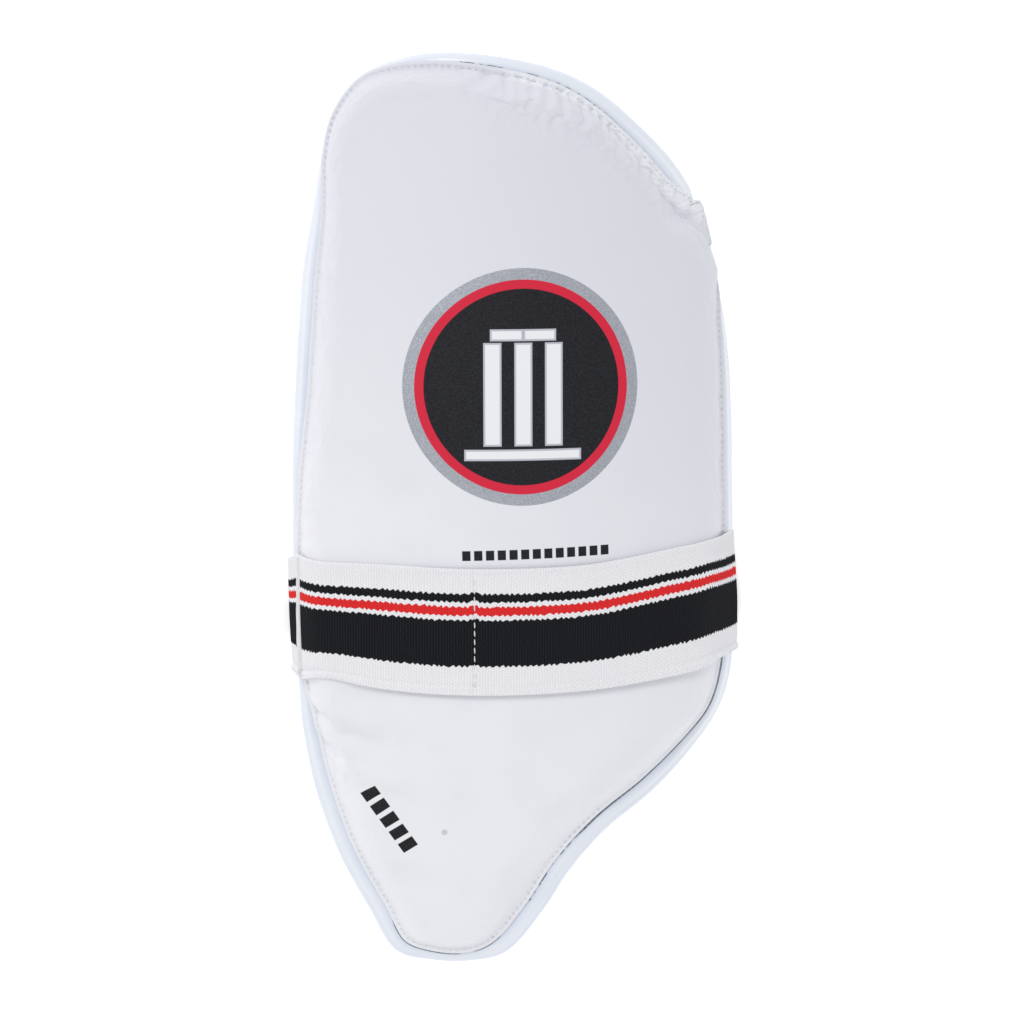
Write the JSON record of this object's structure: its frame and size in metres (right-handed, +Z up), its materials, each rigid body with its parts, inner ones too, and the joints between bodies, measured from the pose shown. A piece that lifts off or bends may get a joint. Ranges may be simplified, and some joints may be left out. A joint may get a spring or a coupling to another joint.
{
  "type": "cricket thigh pad",
  "caption": "Arched, padded thigh guard for batting: a coated front panel over foam, a bound rim and a wide striped elastic strap that closes round the thigh.",
  "frame": {"origin": "under the middle of the whole pad, on the surface that it lies on", "axes": "+X across the pad, +Y along it from the narrow tip to the broad top end, +Z up out of the front panel"},
  "size_m": [0.201, 0.3982, 0.0621],
  "materials": {
    "back_lining": "plain woven lining, matt",
    "binding_tape": "pale coated tape, soft gloss",
    "coated_cover": "white coated leather, fine grain, satin",
    "woven_elastic": "ribbed elastic, white with black and red stripes, matt"
  },
  "bodies": {
    "root": {"base_pad": "back_lining", "edge_binding": "binding_tape", "front_panel": "coated_cover", "strap": "woven_elastic"}
  },
  "joints": []
}
